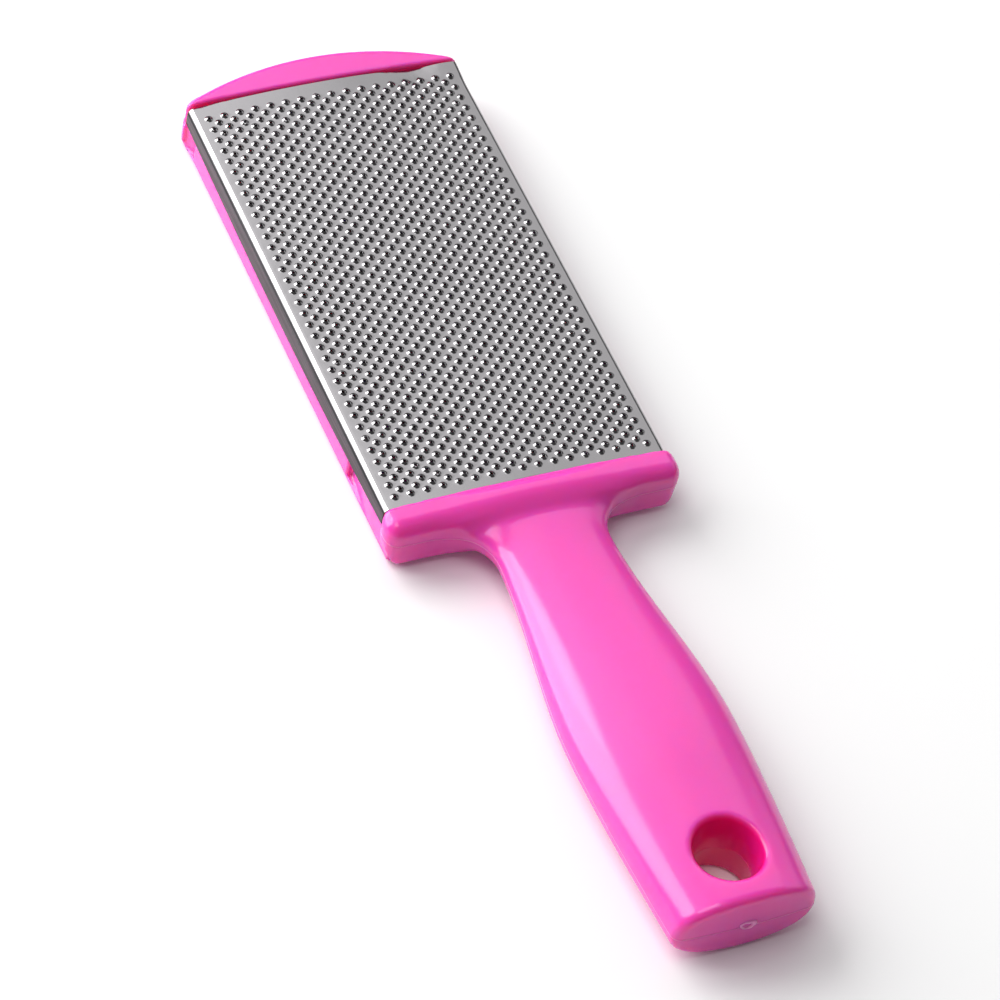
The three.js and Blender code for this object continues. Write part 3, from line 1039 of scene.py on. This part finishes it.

# %% [markdown]
# ** Punched steel.** Bright cold-rolled stainless. Rolling leaves long faint lines. The folded
# edges are a little duller, and their colour is painted much darker with long streaks: a painted
# dark reflection.

# %% Steel
STEEL = [(0.305, 0.295, 0.305, 1), (0.345, 0.335, 0.345, 1)]
# Painted dark reflection: near-black streaked colour for the folded edges.
FOLD_DARK_REFLECTION_STEEL = [(0.012, 0.012, 0.013, 1), (0.068, 0.067, 0.072, 1)]
FOLD_STARTS = (plate_high.x - 0.35) * MM
FOLD_ENDS = (plate_high.x - 0.02) * MM
steel = Finish("punched_steel", Metallic=1.0, Roughness=0.22)
rolled = steel.noise(steel.stretched(1.0, 0.04, 1.0), 1500, 3, 0.6)
patches = steel.noise(steel.place(), 45, 2)
x_wire = steel.parts(steel.place())[0]
fold = x_wire.size().ramp(FOLD_STARTS, FOLD_ENDS)
streaks = steel.noise(steel.stretched(1.0, 0.02, 1.0), 2600, 2, 0.6)
# The folds' dark streaked colour is a painted reflection, not a finish of the steel.
painted_fold_reflection = steel.blend(streaks.ramp(0.35, 0.7), *FOLD_DARK_REFLECTION_STEEL)
bright = steel.blend(patches, *STEEL)
steel.feed(
    Base_Color=steel.blend(fold, bright, painted_fold_reflection),
    Roughness=0.09 + 0.07 * rolled + 0.04 * patches + 0.08 * fold,
)
steel.bump(rolled, 0.000006)
dress(plate, steel)
print(f"steel turns dark from {FOLD_STARTS / MM:.2f} to {FOLD_ENDS / MM:.2f} mm off the middle")

# %% [markdown]
# **Fine grit.** Dark mineral grains in clear resin. A cell pattern at the size of the grains makes
# each one stand up, a noise of about that size gives them their shades, and the gloss of the resin
# changes slowly over the sheet.

# %% Grit
GRIT = [(0.05, 0.05, 0.055, 1), (0.30, 0.29, 0.31, 1)]
GRAINS_PER_METRE = 4200
grit = Finish("fine_grit", Roughness=0.85)
grain_sockets = {"Vector": grit.place(), "Scale": GRAINS_PER_METRE}
grain = grit.node("ShaderNodeTexVoronoi", {"feature": "F1"}, grain_sockets)
shade = grit.noise(grit.place(), 3000, 2)
mottled = grit.noise(grit.place(), 90, 3)
grit.feed(
    Base_Color=grit.blend(shade.ramp(0.35, 0.7), *GRIT),
    Roughness=0.65 + 0.3 * mottled,
)
grit.bump(1 - grain, 0.00012)
dress(pad, grit)
print("materials:", [m.name for m in bpy.data.materials])

# %% [markdown]
# ## Studio
#
# A pale floor, one large soft box behind and to the left, a graded panel behind, a weak fill on the
# right and a small panel overhead. The soft box makes the broad pale band down the left flank of
# the handle and the white line on the plate's fold. The flat steel mirrors the graded panel, so the
# plate grows darker towards the right just as the panel does. Places and sizes are in metres.

# %% Floor
REACH = 4
floor_corners = [(x * REACH, y * REACH, 0) for x, y in ((-1, -1), (1, -1), (1, 1), (-1, 1))]
floor_mesh = bpy.data.meshes.new("floor")
floor_mesh.from_pydata(floor_corners, [], [(0, 1, 2, 3)])
floor = bpy.data.objects.new("floor", floor_mesh)
bpy.context.scene.collection.objects.link(floor)
pale = Finish(
    "floor",
    Base_Color=(0.90, 0.90, 0.90, 1),
    Roughness=0.7,
    Emission_Color=(1, 1, 1, 1),
    Emission_Strength=0.03,
)
floor_mesh.materials.append(pale.material)
print("floor is", 2 * REACH, "m wide")

# %% [markdown]
# Each strip of the graded panel is given by its left edge, its right edge and its brightness.

# %% Lights
CENTRE = (0, 0, 0)
KEY_PLACE = (-0.91, 1.01, 0.69)
OVERHEAD_PLACE = (-0.4, 0.0, 1.4)
FILL_PLACE = (1.35, 0.15, 0.70)
PANEL_Y = 1.07
PANEL_Z = 1.30
PANEL_HEIGHT = 1.0
PANEL_STRIPS = [(-0.8, 0.35, 1.6), (0.35, 0.5, 1.4), (0.5, 0.65, 1.2), (0.65, 1.7, 1.0)]
ROOM_LIGHT = 0.1


def soft_box(name, place, aim, width, height, power):
    """A rectangular light of width by height metres that faces the point aim."""
    light = bpy.data.lights.new(name, "AREA")
    light.shape = "RECTANGLE"
    light.size = width
    light.size_y = height
    light.energy = power
    holder = bpy.data.objects.new(name, light)
    bpy.context.scene.collection.objects.link(holder)
    holder.location = place
    holder.rotation_euler = (Vector(aim) - Vector(place)).to_track_quat("-Z", "Y").to_euler()


soft_box("key_panel", KEY_PLACE, CENTRE, width=1.5, height=1.5, power=39)
soft_box("overhead", OVERHEAD_PLACE, CENTRE, width=0.8, height=0.8, power=6.0)
for left, right, brightness in PANEL_STRIPS:
    middle, width = (left + right) / 2, right - left
    power = brightness * math.pi * width * PANEL_HEIGHT
    place = (middle, PANEL_Y, PANEL_Z)
    soft_box("back_panel", place, (middle, 0, 0), width, PANEL_HEIGHT, power)
soft_box("right_fill", FILL_PLACE, CENTRE, width=1.0, height=0.8, power=1.8)
room = bpy.data.worlds.new("room")
bpy.context.scene.world = room
room.use_nodes = True
background = room.node_tree.nodes["Background"]
background.inputs["Color"].default_value = (1.0, 1.0, 1.0, 1)
background.inputs["Strength"].default_value = ROOM_LIGHT
bpy.context.scene.view_settings.view_transform = "Standard"
print("lights:", len(bpy.data.lights))
